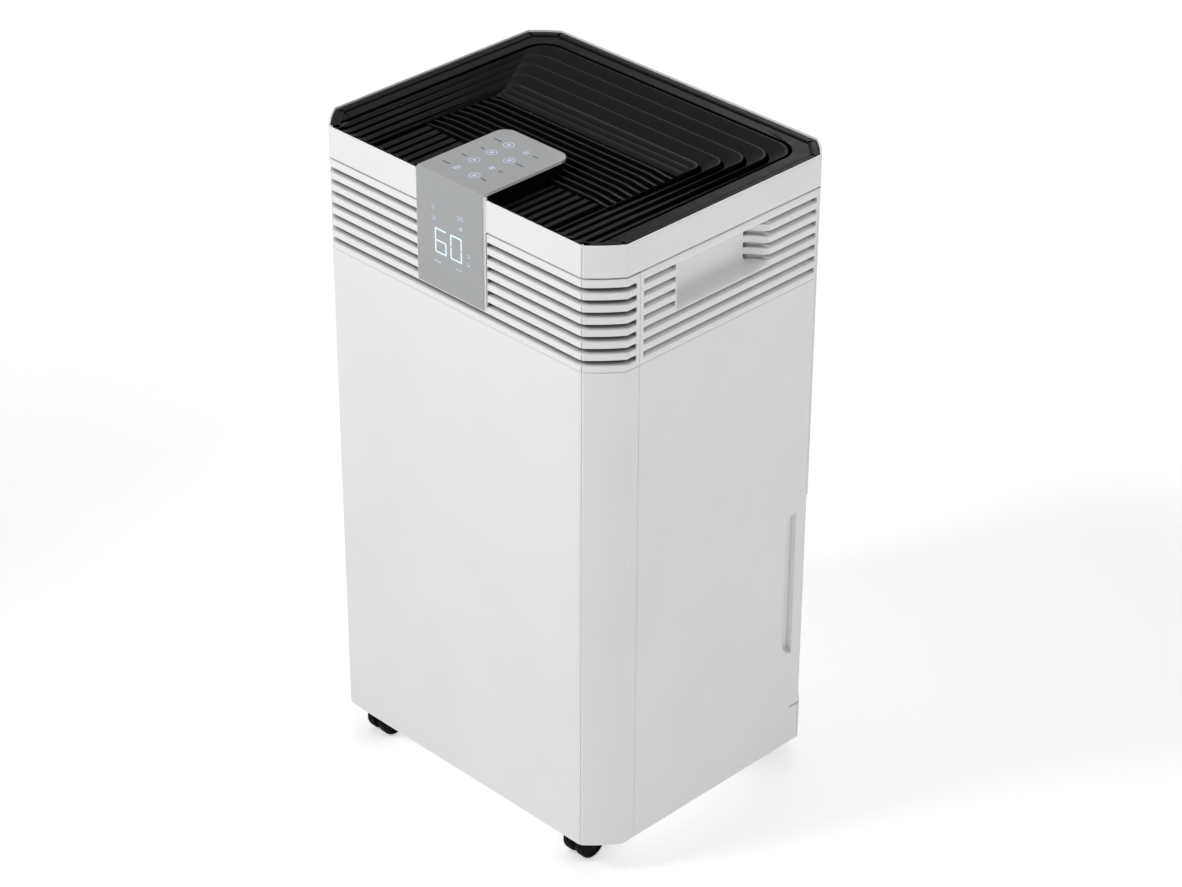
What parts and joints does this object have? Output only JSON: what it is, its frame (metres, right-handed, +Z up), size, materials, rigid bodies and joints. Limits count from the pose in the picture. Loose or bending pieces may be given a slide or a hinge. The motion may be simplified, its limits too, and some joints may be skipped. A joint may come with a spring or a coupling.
{
  "type": "portable dehumidifier",
  "caption": "Upright portable dehumidifier on swivel casters, with louvred upper casing, top outlet grille, folded touch panel, hand pockets and a pull-out water tank.",
  "frame": {"origin": "on the floor under the middle of the body's box", "axes": "+Z up, the front with the touch panel faces -Y, and +X is to the right of someone who faces the front"},
  "size_m": [0.37, 0.2972, 0.6615],
  "materials": {
    "white_plastic": "fine satin moulded white",
    "inner_plastic": "matt moulded grey-white",
    "black_plastic": "satin moulded black",
    "panel_grey": "smooth metallic-look grey",
    "filter_grey": "fine woven mesh in a frame",
    "black_rubber": "matt rubber",
    "caster_plastic": "satin black nylon",
    "caster_tread": "black nylon tread",
    "clear_plastic": "clear moulded window",
    "coil_metal": "thin fins",
    "copper": "drawn copper tube",
    "compressor_paint": "semi-gloss black paint",
    "motor_steel": "zinc-plated steel",
    "circuit_board": "solder-masked board with parts"
  },
  "bodies": {
    "casing": {"base_tray": "white_plastic", "front_panel": "white_plastic", "front_louvres": "white_plastic", "side_panel_right": "white_plastic", "side_panel_left": "white_plastic", "side_louvres_right": "white_plastic", "side_louvres_left": "white_plastic", "handle_cup_right": "white_plastic", "handle_cup_left": "white_plastic", "back_cover": "white_plastic", "top_frame": "white_plastic", "top_grille": "black_plastic", "control_panel": "panel_grey", "panel_carrier": "white_plastic", "display_board": "circuit_board", "touch_board": "circuit_board", "cord_gland": "black_rubber", "shelf": "inner_plastic", "bay_wall": "inner_plastic", "drip_tray": "inner_plastic", "evaporator": "coil_metal", "condenser": "coil_metal", "compressor": "compressor_paint", "compressor_foot_1": "black_rubber", "compressor_foot_2": "black_rubber", "compressor_foot_3": "black_rubber", "accumulator": "compressor_paint", "discharge_pipe": "copper", "suction_pipe": "copper", "capillary_tube": "copper", "fan_housing": "inner_plastic", "bulkhead": "inner_plastic", "fan_motor": "motor_steel", "control_box": "inner_plastic", "main_board": "circuit_board", "run_capacitor": "inner_plastic", "humidity_sensor": "circuit_board", "float_sensor": "black_rubber", "caster_socket_front_right": "black_rubber", "caster_socket_front_left": "black_rubber", "caster_socket_back_right": "black_rubber", "caster_socket_back_left": "black_rubber"},
    "tank": {"water_tank": "inner_plastic", "tank_cover": "white_plastic", "level_window": "clear_plastic"},
    "lid": {"tank_lid": "inner_plastic"},
    "bail": {"tank_handle": "inner_plastic"},
    "float": {"tank_float": "inner_plastic"},
    "intake": {"intake_grille": "white_plastic", "air_filter": "filter_grey"},
    "drain_plug": {"drain_cap": "black_rubber"},
    "fan": {"fan_wheel": "inner_plastic"},
    "fork_front_right": {"caster_fork_front_right": "caster_plastic"},
    "wheel_front_right": {"caster_wheel_front_right": "caster_tread"},
    "fork_front_left": {"caster_fork_front_left": "caster_plastic"},
    "wheel_front_left": {"caster_wheel_front_left": "caster_tread"},
    "fork_back_right": {"caster_fork_back_right": "caster_plastic"},
    "wheel_back_right": {"caster_wheel_back_right": "caster_tread"},
    "fork_back_left": {"caster_fork_back_left": "caster_plastic"},
    "wheel_back_left": {"caster_wheel_back_left": "caster_tread"}
  },
  "joints": [
    {"name": "tank_slide", "type": "slide", "parent": "casing", "child": "tank", "axis": [0, 1, 0], "range_m": [0, 0.14]},
    {"name": "lid_lift", "type": "slide", "parent": "tank", "child": "lid", "axis": [0, 0, 1], "range_m": [0, 0.03]},
    {"name": "handle_swing", "type": "hinge", "parent": "tank", "child": "bail", "pos_m": [0, 0.071, 0.2458], "axis": [1, 0, 0], "range_deg": [0, 90]},
    {"name": "float_rise", "type": "hinge", "parent": "tank", "child": "float", "pos_m": [-0.128, 0.015, 0.2193], "axis": [1, 0, 0], "range_deg": [0, 20]},
    {"name": "intake_tilt", "type": "hinge", "parent": "casing", "child": "intake", "pos_m": [0, 0.146, 0.3468], "axis": [-1, 0, 0], "range_deg": [0, 45]},
    {"name": "drain_plug_pull", "type": "slide", "parent": "casing", "child": "drain_plug", "axis": [0, 1, 0], "range_m": [0, 0.012]},
    {"name": "fan_spin", "type": "hinge", "parent": "casing", "child": "fan", "pos_m": [0, -0.016, 0.4633], "axis": [0, 1, 0], "continuous": true},
    {"name": "swivel_front_right", "type": "hinge", "parent": "casing", "child": "fork_front_right", "pos_m": [0.137, -0.107, 0.03], "axis": [0, 0, 1], "continuous": true},
    {"name": "roll_front_right", "type": "hinge", "parent": "fork_front_right", "child": "wheel_front_right", "pos_m": [0.137, -0.119, 0.0152], "axis": [1, 0, 0], "continuous": true},
    {"name": "swivel_front_left", "type": "hinge", "parent": "casing", "child": "fork_front_left", "pos_m": [-0.137, -0.107, 0.03], "axis": [0, 0, 1], "continuous": true},
    {"name": "roll_front_left", "type": "hinge", "parent": "fork_front_left", "child": "wheel_front_left", "pos_m": [-0.137, -0.119, 0.0152], "axis": [1, 0, 0], "continuous": true},
    {"name": "swivel_back_right", "type": "hinge", "parent": "casing", "child": "fork_back_right", "pos_m": [0.137, 0.105, 0.03], "axis": [0, 0, 1], "continuous": true},
    {"name": "roll_back_right", "type": "hinge", "parent": "fork_back_right", "child": "wheel_back_right", "pos_m": [0.137, 0.117, 0.0152], "axis": [1, 0, 0], "continuous": true},
    {"name": "swivel_back_left", "type": "hinge", "parent": "casing", "child": "fork_back_left", "pos_m": [-0.137, 0.105, 0.03], "axis": [0, 0, 1], "continuous": true},
    {"name": "roll_back_left", "type": "hinge", "parent": "fork_back_left", "child": "wheel_back_left", "pos_m": [-0.137, 0.117, 0.0152], "axis": [1, 0, 0], "continuous": true}
  ]
}
